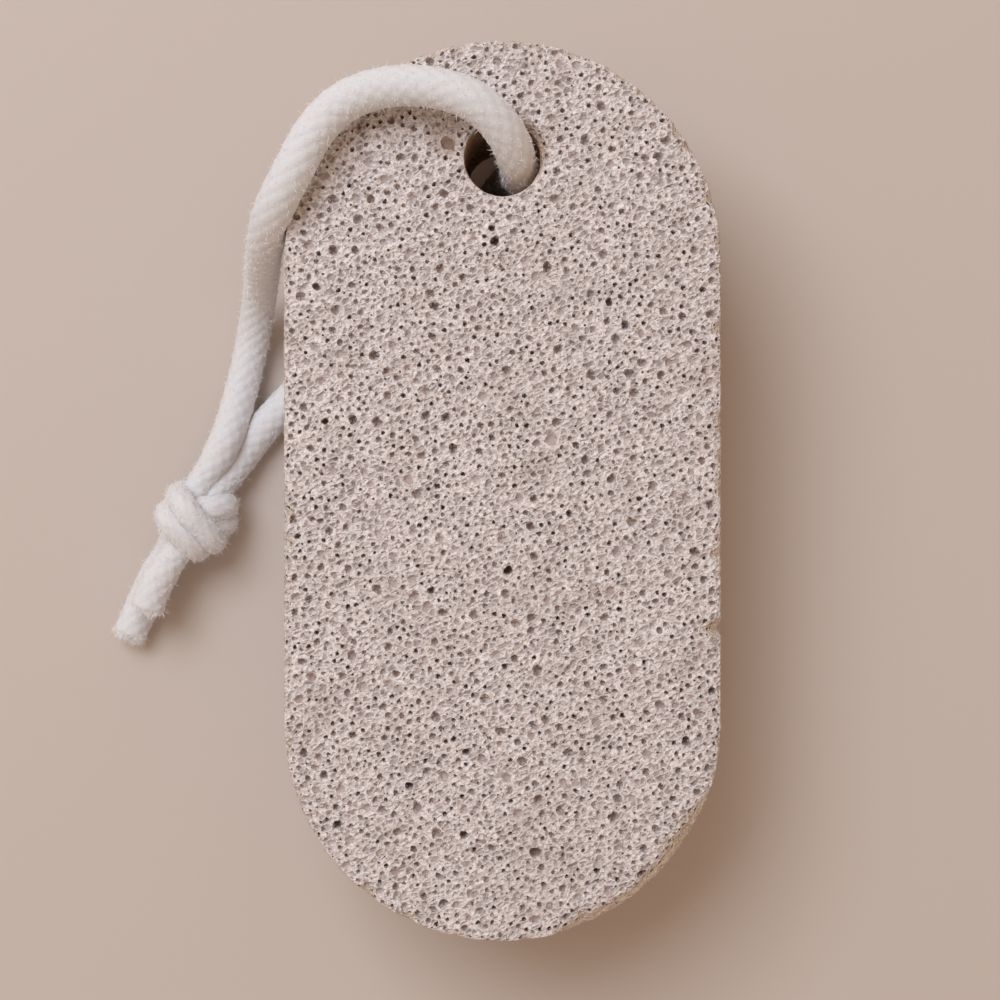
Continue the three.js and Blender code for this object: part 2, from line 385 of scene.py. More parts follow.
# %% Mesh helpers
def make_piece(name, points, triangles, smooth=True):
    """One object at the origin from points (n, 3) and triangles (m, 3), smooth-shaded or flat."""
    mesh = bpy.data.meshes.new(name)
    mesh.vertices.add(len(points))
    mesh.vertices.foreach_set("co", np.asarray(points, np.float32).ravel())
    mesh.loops.add(triangles.size)
    mesh.loops.foreach_set("vertex_index", np.asarray(triangles, np.int32).ravel())
    mesh.polygons.add(len(triangles))
    mesh.polygons.foreach_set("loop_start", np.arange(0, triangles.size, 3, dtype=np.int32))
    mesh.polygons.foreach_set("use_smooth", np.full(len(triangles), smooth))
    mesh.update(calc_edges=True)
    mesh.validate()
    piece = bpy.data.objects.new(name, mesh)
    bpy.context.collection.objects.link(piece)
    return piece


def tube_triangles(rings, around):
    """Two triangles for each cell of a grid that closes on itself round the tube."""
    ring, spoke = np.meshgrid(np.arange(rings - 1), np.arange(around), indexing="ij")
    a = ring * around + spoke
    b = ring * around + (spoke + 1) % around
    first = np.stack([a, b, b + around], axis=-1)
    second = np.stack([a, b + around, a + around], axis=-1)
    return np.concatenate([first.reshape(-1, 3), second.reshape(-1, 3)])


# %% [markdown]
# The sleeve's radius isn't even: the cord is thinner in the knot, a little thicker where it lies
# loose over the stone, rounded at its cut ends and a trace wider just before them.

# %% The sleeve
KNOT_FADE = 2.5 * MM
END_ROUND = 0.8 * MM
END_BLUNT = 0.97
FLARE = 0.05
FLARE_LENGTH = 1.6 * MM
SWELL = 0.2 * MM
SWOLLEN_ABOVE = (20 * MM, 29 * MM)
CLEAR = 0.06 * MM

ring_radius = squeezed(fine_line, CORD / 2, KNOT_RADIUS)
ring_radius = ring_radius + np.interp(fine_line[:, 2], SWOLLEN_ABOVE, (0, SWELL))
ring_radius = smoothed(ring_radius, round(KNOT_FADE / RING_STEP))
from_end = np.minimum(distance_along, cord_length - distance_along)
end_shape = np.sqrt(1 - np.clip(1 - from_end / END_ROUND, 0, END_BLUNT) ** 2)
end_shape *= 1 + FLARE * np.clip(1 - from_end / FLARE_LENGTH, 0, 1)

turn = np.arange(AROUND) / AROUND
tangent, sideways, upwards = rings_frame(fine_line)
braid_relief = RELIEF * (braid_height(distance_along[:, None], turn[None]) - MEAN_HEIGHT)
sleeve_radius = (ring_radius[:, None] + braid_relief) * end_shape[:, None]
turn_angle = 2 * math.pi * turn[None, :, None]
spoke = np.cos(turn_angle) * sideways[:, None] + np.sin(turn_angle) * upwards[:, None]
sleeve = (fine_line[:, None] + sleeve_radius[:, :, None] * spoke).reshape(-1, 3)
for _ in range(2):
    sleeve = pushed_out(sleeve, CLEAR)
sleeve[:, 2] = np.maximum(sleeve[:, 2], CLEAR)

last_ring = (len(fine_line) - 1) * AROUND
spokes = np.arange(AROUND)
next_spokes = (spokes + 1) % AROUND
caps = len(sleeve) + np.array([0, 1])
first_cap = np.stack([next_spokes, spokes, np.full(AROUND, caps[0])], axis=1)
last_cap = np.stack([last_ring + spokes, last_ring + next_spokes, np.full(AROUND, caps[1])], axis=1)
sleeve_points = np.concatenate([sleeve, fine_line[[0, -1]]])
sleeve_faces = np.concatenate([tube_triangles(len(fine_line), AROUND), first_cap, last_cap])
cord = make_piece("braided_cord", sleeve_points, sleeve_faces)
print("the sleeve has", len(sleeve_faces), "triangles")

# %% [markdown]
# The real cord is fluffy: loose fibres stand off the braid and soften its outline, and each cut end
# frays into a little brush. Every fibre is a thin bent spike, a closed shape of ten triangles, shaded
# flat because a smooth normal on so thin a shape turns dark. The knot gets extra ones.

# %% Fibres
SEED = 11
FLUFF = 10000
KNOT_FLUFF = 4500
FRAYED = 700
FLUFF_LENGTH = (0.25 * MM, 0.7 * MM)
FRAYED_LENGTH = (0.3 * MM, 1.1 * MM)
FIBRE_RADIUS = 0.022 * MM
FIBRE_SIDE = (0.36, 0.48, 0.8)
FRAY_DEPTH = 0.7 * MM
FLUFF_OUTWARD = 0.6
FRAYED_OUTWARD = 0.3
WAYWARD = 0.6
rng = np.random.default_rng(SEED)
knot_rng = np.random.default_rng(SEED + 1)


def fibre_points(rooted, leave, curl, lengths):
    """Bent spikes (n, 7, 3): three points round the root, three round the bend at half the length and
    one at the tip. leave is the direction at the root, and curl is added to it after the bend."""
    leave = leave / np.linalg.norm(leave, axis=1, keepdims=True)
    first = np.cross(leave, FIBRE_SIDE)
    first /= np.linalg.norm(first, axis=1, keepdims=True)
    second = np.cross(leave, first)
    corner = 2 * math.pi * np.arange(3)[None, :, None] / 3
    round_it = FIBRE_RADIUS * (np.cos(corner) * first[:, None] + np.sin(corner) * second[:, None])
    bend = rooted + leave * lengths[:, None] / 2
    point = bend + (leave + curl) * lengths[:, None] / 2
    spikes = [rooted[:, None] + round_it, bend[:, None] + round_it, point[:, None]]
    return np.concatenate(spikes, axis=1)


FIBRE_FACES = np.array([
    (2, 1, 0), (0, 1, 4), (0, 4, 3), (1, 2, 5), (1, 5, 4),
    (2, 0, 3), (2, 3, 5), (3, 4, 6), (4, 5, 6), (5, 3, 6),
])
end_points = np.flatnonzero(np.repeat(from_end < FRAY_DEPTH, AROUND))
knot_sleeve = np.flatnonzero(np.repeat(ring_radius < (CORD / 2 + KNOT_RADIUS) / 2, AROUND))


def fluff_on(picked, outward, along, length, chance):
    """Fibres rooted on the picked points of the sleeve. They leave along a mix of the way outwards, the
    way to the nearer cut end and a random direction, and their lengths lie between two bounds."""
    count = len(picked)
    ring_of = picked // AROUND
    to_end = tangent[ring_of] * np.where(ring_of < len(fine_line) / 2, -1, 1)[:, None]
    leave = outward * spoke.reshape(-1, 3)[picked] + along * to_end
    leave = leave + chance.normal(0, WAYWARD, (count, 3))
    curl = chance.normal(0, WAYWARD, (count, 3))
    return fibre_points(sleeve[picked], leave, curl, chance.uniform(*length, count))


fluff = np.concatenate([
    fluff_on(rng.integers(0, len(sleeve), FLUFF), FLUFF_OUTWARD, 0, FLUFF_LENGTH, rng),
    fluff_on(rng.choice(end_points, FRAYED), FRAYED_OUTWARD, 1, FRAYED_LENGTH, rng),
    fluff_on(knot_rng.choice(knot_sleeve, KNOT_FLUFF), FLUFF_OUTWARD, 0, FLUFF_LENGTH, knot_rng),
])
fibre_count, points_each = fluff.shape[:2]
fluff = pushed_out(fluff.reshape(-1, 3), CLEAR)
fluff[:, 2] = np.maximum(fluff[:, 2], CLEAR)
fluff_faces = (points_each * np.arange(fibre_count)[:, None, None] + FIBRE_FACES).reshape(-1, 3)
fibres = make_piece("cord_fibres", fluff, fluff_faces, smooth=False)
print(fibre_count, "fibres with", len(fluff_faces), "triangles")

# %% [markdown]
# The sleeve and its fibres both hang from the root, and the CAD part's cord pieces are hidden.

for piece in (cord, fibres):
    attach(piece, "root")
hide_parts("cord_loop", "cord_knot", "cord_long_end", "cord_short_end")
print("declared", round(cord_length / MM), "mm of cord")

# %% [markdown]
# ## The stone's skin
# Pumice is frozen foam: sawing it opens bubbles of every size, packed until only thin walls are
# left. A displaced grid would need millions of points to show their crisp rims. Instead, the skin
# is laid out flat as four sheets (front, back, side strip and hole wall). Bubbles are placed on
# each sheet, the largest first, wherever there is room. Each one is a ring of points on its rim
# and a few points inside that are sunk into the stone, and one triangulation joins them all.

# %% Placing bubbles
CELL = 0.08 * MM
TRIES = 40


class FreeRoom:
    """A map of a flat sheet that holds, for each small cell, the distance to the nearest border or
    bubble. A bubble fits where that distance is at least its own radius."""

    def __init__(self, width, height, border_distance):
        self.low = np.array([-width / 2, -height / 2])
        self.size = np.array([width, height])
        counts = np.ceil(self.size / CELL).astype(int)
        self.x = self.low[0] + (np.arange(counts[0]) + 0.5) * CELL
        self.y = self.low[1] + (np.arange(counts[1]) + 0.5) * CELL
        self.room = border_distance(self.x[None], self.y[:, None]) * np.ones((counts[1], counts[0]))

    def at(self, places):
        """The free distance at each place."""
        last = np.array(self.room.shape)[::-1] - 1
        column, row = np.clip(((places - self.low) / CELL).astype(int), 0, last).T
        return self.room[row, column]

    def take(self, place, radius, reach):
        """Marks a bubble: cells near it are now at most their distance from its rim."""
        low = np.maximum(((place - self.low - radius - reach) / CELL).astype(int), 0)
        high = ((place - self.low + radius + reach) / CELL).astype(int) + 1
        rows, columns = slice(low[1], high[1]), slice(low[0], high[0])
        gap = np.hypot(self.x[None, columns] - place[0], self.y[rows, None] - place[1]) - radius
        self.room[rows, columns] = np.minimum(self.room[rows, columns], gap)


def place_bubbles(sheet, radii, wall):
    """Throws bubbles at random places of a sheet, the largest first, and keeps each one that fits with
    a wall round it. Returns their places and radii."""
    places, kept = [], []
    reach = radii.max() + 2 * wall
    for radius in np.sort(radii)[::-1]:
        spots = sheet.low + rng.random((TRIES, 2)) * sheet.size
        fits = np.flatnonzero(sheet.at(spots) > radius + wall)
        if fits.size:
            sheet.take(spots[fits[0]], radius, reach)
            places.append(spots[fits[0]])
            kept.append(radius)
    return np.array(places).reshape(-1, 2), np.array(kept)


# %% [markdown]
# Bubbles in real foam press on each other, so none of them is quite round, and the saw breaks their
# thin rims. Some were cut near their top and are shallow and pale, and deep ones get dark painted shade.

# %% Points of a bubble
BROKEN = 0.7
ROUND_SHARE, TWO_LOBES, THREE_LOBES = 0.85, 0.1, 0.05
RING_OUT = 0.66
RING_DEPTH = 0.8


def bubble_points(places, radii, depths, rim, ring):
    """For bubbles of one size class: rim points on a circle with two and three lobes, each broken back
    by a random share, a ring of points at two thirds of the way out and four fifths of the depth,
    and the middle at full depth. No rim point is further out than the radius.
    Returns places (n, k, 2), depths (n, k) and the rim's edges as pairs of numbers below k."""
    count = len(places)
    start = rng.uniform(0, 2 * math.pi, (count, 1))
    phase = rng.uniform(0, 2 * math.pi, (2, count, 1))

    def circle(points, share, offset):
        """Points round each bubble at a share of its radius, turned by offset steps."""
        angle = start + 2 * math.pi * (np.arange(points)[None] + offset) / points
        lobes = ROUND_SHARE + TWO_LOBES * np.cos(2 * angle + phase[0])
        lobes = lobes + THREE_LOBES * np.cos(3 * angle + phase[1])
        broken = rng.uniform(BROKEN, 1, angle.shape)
        distance = share * radii[:, None] * lobes * broken
        return places[:, None] + distance[:, :, None] * np.stack([np.cos(angle), np.sin(angle)], axis=2)

    parts = [circle(rim, 1, 0)]
    sunk = [np.zeros((count, rim))]
    if ring:
        parts.append(circle(ring, RING_OUT, 0.5))
        sunk.append(np.repeat(RING_DEPTH * depths[:, None], ring, axis=1))
    parts.append(places[:, None])
    sunk.append(depths[:, None])
    edges = np.stack([np.arange(rim), (np.arange(rim) + 1) % rim], axis=1)
    return np.concatenate(parts, axis=1), np.concatenate(sunk, axis=1), edges


# %% Kinds of bubble
LARGE = 0.45 * MM
LARGE_CHANCE = 0.76
KIND_BELOW = np.array([0.36, 0.74])
KIND_DEPTH = np.array([0.6, 1.0, 1.7])
# Painted shade of each kind: the deeper the kind, the darker its bubbles are painted.
KIND_DARK = np.array([0.16, 0.6, 0.97])
DEPTH_SPREAD = (0.8, 1.2)
DARK_SPREAD = (0.5, 1.05)
TAN_SHARE = 0.3
TAN_SPREAD = (0.1, 0.45)


def bubble_kinds(radii):
    """Depth in radii, darkness and tan of each bubble: over a third are shallow and pale, as many are half
    as deep as they are wide, and the rest are deep and dark. The darkness is painted shade that grows
    with the depth. Hardly any of the large ones are deep."""
    count = len(radii)
    chance = rng.random(count) * np.where(radii > LARGE, LARGE_CHANCE, 1)
    kind = np.searchsorted(KIND_BELOW, chance, side="right")
    depth = KIND_DEPTH[kind] * rng.uniform(*DEPTH_SPREAD, count)
    dark = KIND_DARK[kind] * rng.uniform(*DARK_SPREAD, count)
    tan = (rng.random(count) < TAN_SHARE) * rng.uniform(*TAN_SPREAD, count)
    return depth, dark, tan


print(len(KIND_DEPTH), "kinds of bubble, up to", KIND_DEPTH.max(), "radii deep")

# %% [markdown]
# The outline of the bar is two half circles and two straight sides. The side strip needs to know
# where it is at a given way round, and the faces need the way back: how far round the nearest
# point of the rim is, and how far inside it a place lies.

# %% The outline
ARC = math.pi * END_RADIUS
STRAIGHT = 2 * END_CENTRE
OUTLINE = 2 * (ARC + STRAIGHT)
HOLE_ROUND = 2 * math.pi * HOLE_RADIUS


def outline_at(way):
    """Points of the outline and the directions out of it, counter-clockwise from the right end of the
    upper arc: a circle's point about a centre that rests on the arcs and slides on the sides."""
    way = np.asarray(way) % OUTLINE
    stretch = [way < ARC, way < ARC + STRAIGHT, way < 2 * ARC + STRAIGHT]
    lower_angle = math.pi + (way - ARC - STRAIGHT) / END_RADIUS
    angle = np.select(stretch, [way / END_RADIUS, math.pi + 0 * way, lower_angle], 0)
    down = END_CENTRE - (way - ARC)
    up = way - 2 * ARC - STRAIGHT - END_CENTRE
    centre = np.select(stretch, [END_CENTRE + 0 * way, down, -END_CENTRE + 0 * way], up)
    outward = np.stack([np.cos(angle), np.sin(angle)], axis=-1)
    return END_RADIUS * outward + np.stack([0 * centre, centre], axis=-1), outward


def way_round(x, y):
    """The way round the outline to the rim's point nearest to (x, y), and the distance inside it."""
    past_end = y - np.clip(y, -END_CENTRE, END_CENTRE)
    angle = np.arctan2(past_end, x) % (2 * math.pi)
    on_lower = (angle - math.pi) * END_RADIUS + ARC + STRAIGHT
    on_arc = np.where(past_end > 0, angle * END_RADIUS, on_lower)
    on_straight = np.where(x < 0, ARC + END_CENTRE - y, 2 * ARC + STRAIGHT + END_CENTRE + y)
    return np.where(past_end != 0, on_arc, on_straight), END_RADIUS - np.hypot(x, past_end)


def face_room(x, y):
    """Distance from a place on a face to the outline or the hole, whichever is nearer."""
    return np.minimum(way_round(x + 0 * y, y + 0 * x)[1], np.hypot(x, y - HOLE_Y) - HOLE_RADIUS)


def strip_room(length):
    """The same for a strip of the given length and the stone's thickness, with its middle at (0, 0)."""
    return lambda x, y: np.minimum(length / 2 - np.abs(x), THICKNESS / 2 - np.abs(y))


print("the outline is", round(OUTLINE / MM, 1), "mm round")

# %% [markdown]
# Sheets are triangulated with a constrained Delaunay call: every rim of a bubble is given as a
# chain of edges that the triangles must keep, so no triangle bridges a bubble.

# %% Growing a sheet
WALL = 0.012 * MM
FILL_STEP = 0.8 * MM
FILL_JITTER = 0.4
BARE = 6 * WALL
GRAIN = 0.14 * MM
MARKED_RIM, MARKED_RING = 12, 6
MARKED_REACH = 2 * MM
SAME_POINT = 1e-6
Sheet = namedtuple("Sheet", "flat sunk dark tan hollow triangles")


def triangulate(points, edges):
    """Triangles over flat points that keep the given edges. The call is made in millimetres. A point that
    it adds where two edges cross is taken as the nearest one that was there."""
    flat = [Vector(p) for p in (points / MM).tolist()]
    spots, _, corners, sources, _, _ = delaunay_2d_cdt(flat, edges.tolist(), [], 0, SAME_POINT, True)
    number = np.array([source[0] if source else -1 for source in sources])
    for extra in np.flatnonzero(number < 0):
        number[extra] = np.argmin(((points / MM - np.array(spots[extra])) ** 2).sum(axis=1))
    triangles = number[np.array(corners)]
    a, b, c = triangles.T
    return triangles[(a != b) & (b != c) & (a != c)]


def grow_sheet(sheet, border, border_edges, recipe, given=()):
    """One flat sheet of skin: its border, the given bubbles as rows of (x, y, radius, depth, dark, tan),
    the recipe's bubbles in rows of (count, smallest, largest, rim points, ring points), and a few
    points on bare walls. For each point the sheet holds its flat place, depth, darkness, tan and whether
    it lies in a bubble."""
    level = np.zeros(len(border))
    parts = [(border, level, level, level, level)]
    chains = [border_edges]
    total = len(border)
    batches = []
    if len(given):
        for row in given:
            sheet.take(row[:2], row[2], MARKED_REACH)
        batches.append((given[:, :2], given[:, 2], MARKED_RIM, MARKED_RING, given[:, 3:].T))
    for count, smallest, largest, rim, ring in recipe:
        radii = smallest + (largest - smallest) * rng.random(count) ** 2
        places, radii = place_bubbles(sheet, radii, WALL)
        batches.append((places, radii, rim, ring, bubble_kinds(radii)))
    for places, radii, rim, ring, (depth, dark, tan) in batches:
        spots, sunk, edges = bubble_points(places, radii, depth * radii, rim, ring)
        bubbles, points_each = sunk.shape
        inside = (np.arange(points_each) >= rim)[None]
        rough = GRAIN * rng.random(sunk.shape) ** 2
        first_points = total + np.arange(bubbles)[:, None, None] * points_each
        chains.append((first_points + edges).reshape(-1, 2))
        shades = [(shade[:, None] * inside).ravel() for shade in (dark, tan, np.ones(bubbles))]
        parts.append((spots.reshape(-1, 2), (sunk + rough).ravel(), *shades))
        total += bubbles * points_each
    every = round(FILL_STEP / CELL)
    grid = np.stack(np.meshgrid(sheet.x[::every], sheet.y[::every]), axis=-1).reshape(-1, 2)
    grid = grid + rng.uniform(-FILL_JITTER, FILL_JITTER, grid.shape) * FILL_STEP
    filler = grid[sheet.at(grid) > BARE]
    nothing = np.zeros(len(filler))
    parts.append((filler, GRAIN * rng.random(len(filler)) ** 2, nothing, nothing, nothing))
    columns = [np.concatenate(column) for column in zip(*parts)]
    return Sheet(*columns, triangulate(columns[0], np.concatenate(chains)))


# %% [markdown]
# The saw and years of use have nibbled at the rims, so the sharp edge between face and side is
# rounded by a different amount all the way round: a thin even wear, many small bites, one notch
# on the right, and a crumbled stretch at the lower right. The hole's rims are worn by the cord.

# %% Wear of the rims
RIM_WEAR = 0.2 * MM
HOLE_WEAR = (0.12 * MM, 0.35 * MM)
HOLE_WORN_TOWARDS = math.radians(25)
GIVE_REACH = 2.4
GIVE_MARGIN = 0.4 * MM
RIM_BITES = 190
BITE_WIDTH_MM = (0.35, 1.1)
BITE_DEPTH = 0.45 * MM
BITE_SHALLOW = 2.5
NOTCH_Y = -15.2 * MM
NOTCH_WIDTH = 1.1 * MM
NOTCH_DEPTH = 1.0 * MM
CRUMBLED_FROM, CRUMBLED_TO = math.radians(-72), math.radians(-22)
BEVEL_BITES = 8
BEVEL_WIDTH = 4.5 * MM
BEVEL_DEPTH_MM = (0.55, 0.75)
NIBBLES = 16
NIBBLE_WIDTH_MM = (0.6, 1.3)
NIBBLE_DEPTH_MM = (0.5, 0.95)


def rim_bites():
    """Places round the outline, half widths and depths of random small bites: mostly shallow, because
    the depth is a chance raised to a power."""
    places = rng.uniform(0, OUTLINE, RIM_BITES)
    widths = rng.uniform(*BITE_WIDTH_MM, RIM_BITES) * MM
    return np.stack([places, widths, BITE_DEPTH * rng.random(RIM_BITES) ** BITE_SHALLOW])


def crumbled_bites():
    """Bites between two angles round the lower end: a row of broad ones that run together into a worn
    bevel, and small ones scattered over it."""
    start, end = 2 * ARC + STRAIGHT + np.array([CRUMBLED_FROM, CRUMBLED_TO]) * END_RADIUS
    row = np.linspace(start, end, BEVEL_BITES + 2)[1:-1]
    bevel_depths = rng.uniform(*BEVEL_DEPTH_MM, BEVEL_BITES) * MM
    bevel = np.stack([row, np.full(BEVEL_BITES, BEVEL_WIDTH), bevel_depths])
    places = rng.uniform(start, end, NIBBLES)
    widths = rng.uniform(*NIBBLE_WIDTH_MM, NIBBLES) * MM
    nibbles = np.stack([places, widths, rng.uniform(*NIBBLE_DEPTH_MM, NIBBLES) * MM])
    return np.concatenate([bevel, nibbles], axis=1)


notch_way = 2 * ARC + STRAIGHT + END_CENTRE + NOTCH_Y
notch = np.array([[notch_way], [NOTCH_WIDTH], [NOTCH_DEPTH]])
front_bites = np.concatenate([rim_bites(), crumbled_bites(), notch], axis=1)
back_bites = rim_bites()
print("bites out of the front rim:", front_bites.shape[1], "and the back rim:", back_bites.shape[1])

# %% Worn edges
def wear_at(way, bites):
    """Wear of a rim at each way round: the even wear and the deepest bite's parabola there."""
    places, widths, depths = bites
    off = np.abs((way[:, None] - places + OUTLINE / 2) % OUTLINE - OUTLINE / 2) / widths
    return RIM_WEAR + (depths * np.maximum(1 - off**2, 0)).max(axis=1)


def give(wear, inside):
    """How far a place gives way near a worn edge: all the wear at the edge, falling to nothing along a
    parabola, over a reach that is long enough that the skin doesn't fold."""
    return wear * np.maximum(1 - inside / (GIVE_REACH * wear + GIVE_MARGIN), 0) ** 2


def hole_wear(angle):
    """Wear of the hole's rims: a thin even wear, and more on the side that the cord pulls against."""
    even, pulled = HOLE_WEAR
    return even + pulled * np.maximum(np.cos(angle - HOLE_WORN_TOWARDS), 0) ** 3


def on_face(points, sunk, bites):
    """A face sheet in space, as height below the face: worn inwards and down at the outline and at the
    hole, and sunk where bubbles are. Returns x, y, the depth below the face and the hole's wear."""
    way, inside = way_round(points[:, 0], points[:, 1])
    from_hole = points - (0, HOLE_Y)
    hole_distance = np.linalg.norm(from_hole, axis=1)
    rim_give = give(wear_at(way, bites), inside)
    angle = np.arctan2(from_hole[:, 1], from_hole[:, 0])
    hole_give = give(hole_wear(angle), hole_distance - HOLE_RADIUS)
    flat = points - outline_at(way)[1] * rim_give[:, None]
    flat = flat + from_hole * (hole_give / hole_distance)[:, None]
    return flat, sunk + rim_give + hole_give, hole_give


most_worn = wear_at(front_bites[0], front_bites).max()
print("the front rim is worn by up to", round(most_worn / MM, 2), "mm")

# %% [markdown]
# The front face has a few bubbles that stand out on the real stone, and they go in their own places
# first. Chance places the rest. The back is guessed: as flat as the front, with fewer bubbles.

# %% Borders of the faces
RIM_STEP = 0.35 * MM
rim_count = round(OUTLINE / RIM_STEP)
hole_count = round(HOLE_ROUND / RIM_STEP)
rim_way = np.arange(rim_count) * OUTLINE / rim_count
hole_angle = -2 * math.pi * np.arange(hole_count) / hole_count
hole_ring = np.stack([np.cos(hole_angle), np.sin(hole_angle)], axis=1) * HOLE_RADIUS + (0, HOLE_Y)
face_border = np.concatenate([outline_at(rim_way)[0], hole_ring])


def closed_chain(first, count):
    """Edges of a closed ring of points with running numbers."""
    numbers = first + np.arange(count)
    return np.stack([numbers, np.roll(numbers, -1)], axis=1)


face_edges = np.concatenate([closed_chain(0, rim_count), closed_chain(rim_count, hole_count)])
print("a face's border has", len(face_border), "points")

# %% The two faces
# A marked bubble is x, y, radius, depth in radii, darkness (painted shade) and tan. A row of a recipe
# is a count, the smallest and largest radius, and the numbers of points on the rim and on the ring inside
# it.
MARKED_BUBBLES = np.array([
    (0.6 * MM, -8.8 * MM, 0.8 * MM, 1.6, 1.0, 0.25),
    (-7.9 * MM, -11.0 * MM, 0.6 * MM, 1.4, 0.95, 0.1),
    (3.6 * MM, -40.0 * MM, 0.9 * MM, 1.2, 0.7, 0.3),
    (-20.6 * MM, 22.6 * MM, 0.65 * MM, 1.4, 0.85, 0),
    (-16.7 * MM, 22.8 * MM, 0.6 * MM, 1.0, 0.5, 0),
    (11.8 * MM, 20.9 * MM, 0.65 * MM, 1.5, 0.95, 0),
    (-1.2 * MM, 29.1 * MM, 0.55 * MM, 1.5, 0.95, 0),
    (5.4 * MM, 5.7 * MM, 1.0 * MM, 0.55, 0.05, 0),
    (-6.0 * MM, 38.4 * MM, 1.1 * MM, 0.6, 0.7, 0.7),
])
FRONT_RECIPE = [
    (650, 0.48 * MM, 0.85 * MM, 10, 4),
    (2500, 0.34 * MM, 0.48 * MM, 7, 3),
    (2500, 0.22 * MM, 0.34 * MM, 6, 0),
    (700, 0.12 * MM, 0.2 * MM, 4, 0),
]
BACK_RECIPE = [
    (150, 0.6 * MM, 0.95 * MM, 8, 4),
    (500, 0.4 * MM, 0.6 * MM, 6, 0),
    (400, 0.28 * MM, 0.4 * MM, 5, 0),
]


def face_sheet(recipe, given=()):
    """A face's sheet, without the triangles that close the hole."""
    room = FreeRoom(WIDTH, LENGTH, face_room)
    sheet = grow_sheet(room, face_border, face_edges, recipe, given)
    on_hole = (sheet.triangles >= rim_count) & (sheet.triangles < rim_count + hole_count)
    return sheet._replace(triangles=sheet.triangles[~on_hole.all(axis=1)])


front = face_sheet(FRONT_RECIPE, MARKED_BUBBLES)
back = face_sheet(BACK_RECIPE)
print("front triangles", len(front.triangles), "back triangles", len(back.triangles))

# %% [markdown]
# The side and the hole's wall are strips, laid out flat and bent round afterwards. Their long edges
# use the same points as the rims of the faces, and their two short ends meet in a seam.

# %% The side strip and the hole's wall
SIDE_RECIPE = [
    (230, 0.55 * MM, 0.9 * MM, 9, 4),
    (1000, 0.38 * MM, 0.55 * MM, 6, 3),
    (1100, 0.25 * MM, 0.38 * MM, 5, 0),
]
BORE_RECIPE = [(90, 0.25 * MM, 0.6 * MM, 7, 0)]
SEAM_STEP = 0.5 * MM


def strip_sheet(length, count, recipe):
    """A strip as wide as the stone is thick, whose two ends meet. Its border runs along the top, along
    the bottom, and up both ends. Returns the sheet and the number of points inside one end."""
    across = np.linspace(-length / 2, length / 2, count + 1)
    seam = np.linspace(-THICKNESS / 2, THICKNESS / 2, round(THICKNESS / SEAM_STEP) + 1)[1:-1]
    top = np.stack([across, np.full(count + 1, THICKNESS / 2)], axis=1)
    bottom = top * (1, -1)
    first_end = np.stack([np.full(len(seam), -length / 2), seam], axis=1)
    border = np.concatenate([top, bottom, first_end, first_end * (-1, 1)])
    row = np.stack([np.arange(count), np.arange(count) + 1], axis=1)
    room = FreeRoom(length, THICKNESS, strip_room(length))
    return grow_sheet(room, border, np.concatenate([row, row + count + 1]), recipe), len(seam)


side, side_seam = strip_sheet(OUTLINE, rim_count, SIDE_RECIPE)
bore, bore_seam = strip_sheet(HOLE_ROUND, hole_count, BORE_RECIPE)
print("side triangles", len(side.triangles), "hole wall triangles", len(bore.triangles))


# %% Bending the strips round
def on_side(points, sunk):
    """The side strip in space: the outline's point at that way round, sunk inwards, and worn inwards and
    away from the rim near both rims. Returns the points and the wear."""
    way = points[:, 0] + OUTLINE / 2
    height = points[:, 1] + THICKNESS / 2
    place, outward = outline_at(way)
    top = give(wear_at(way, front_bites), THICKNESS - height)
    bottom = give(wear_at(way, back_bites), height)
    flat = place - outward * (sunk + top + bottom)[:, None]
    return np.column_stack([flat, height - top + bottom]), top + bottom


def on_bore(points, sunk):
    """The hole's wall in space: clockwise round the hole, so that the strip faces its axis."""
    angle = -(points[:, 0] + HOLE_ROUND / 2) / HOLE_RADIUS
    height = points[:, 1] + THICKNESS / 2
    top = give(hole_wear(angle), THICKNESS - height)
    bottom = give(hole_wear(angle), height)
    reach = HOLE_RADIUS + sunk + top + bottom
    return np.column_stack([reach * np.cos(angle), HOLE_Y + reach * np.sin(angle), height - top + bottom])


front_flat, front_deep, front_hole = on_face(front.flat, front.sunk, front_bites)
back_flat, back_deep, back_hole = on_face(back.flat, back.sunk, back_bites)
front_points = np.column_stack([front_flat, THICKNESS - front_deep])
back_points = np.column_stack([back_flat, back_deep])
side_points, side_wear = on_side(side.flat, side.sunk)
bore_points = on_bore(bore.flat, bore.sunk)
print("the deepest front bubble is", round(front.sunk.max() / MM, 2), "mm deep")

# %% [markdown]
# The four sheets become one closed skin. Where a strip meets a face, or its own other end, both use
# the same points, so no edge is left open.

# %% Sewing the sheets together
def sew_strip(strip_points, count, seam, first_new, face_start):
    """Numbers in the whole skin for a strip's points. Its top and bottom borders are points that the
    faces already have, its second end is its first, and the rest are new."""
    ring = face_start + np.arange(count + 1) % count
    rest = len(strip_points) - 2 * (count + 1) - 2 * seam
    ends = first_new + np.arange(seam)
    new = first_new + seam + np.arange(rest)
    return np.concatenate([ring, len(front_points) + ring, ends, ends, new])


def new_rows(columns, count, seam):
    """The rows of a strip's columns that are new in the whole skin."""
    skip = 2 * (count + 1)
    return [np.concatenate([column[skip : skip + seam], column[skip + 2 * seam :]]) for column in columns]


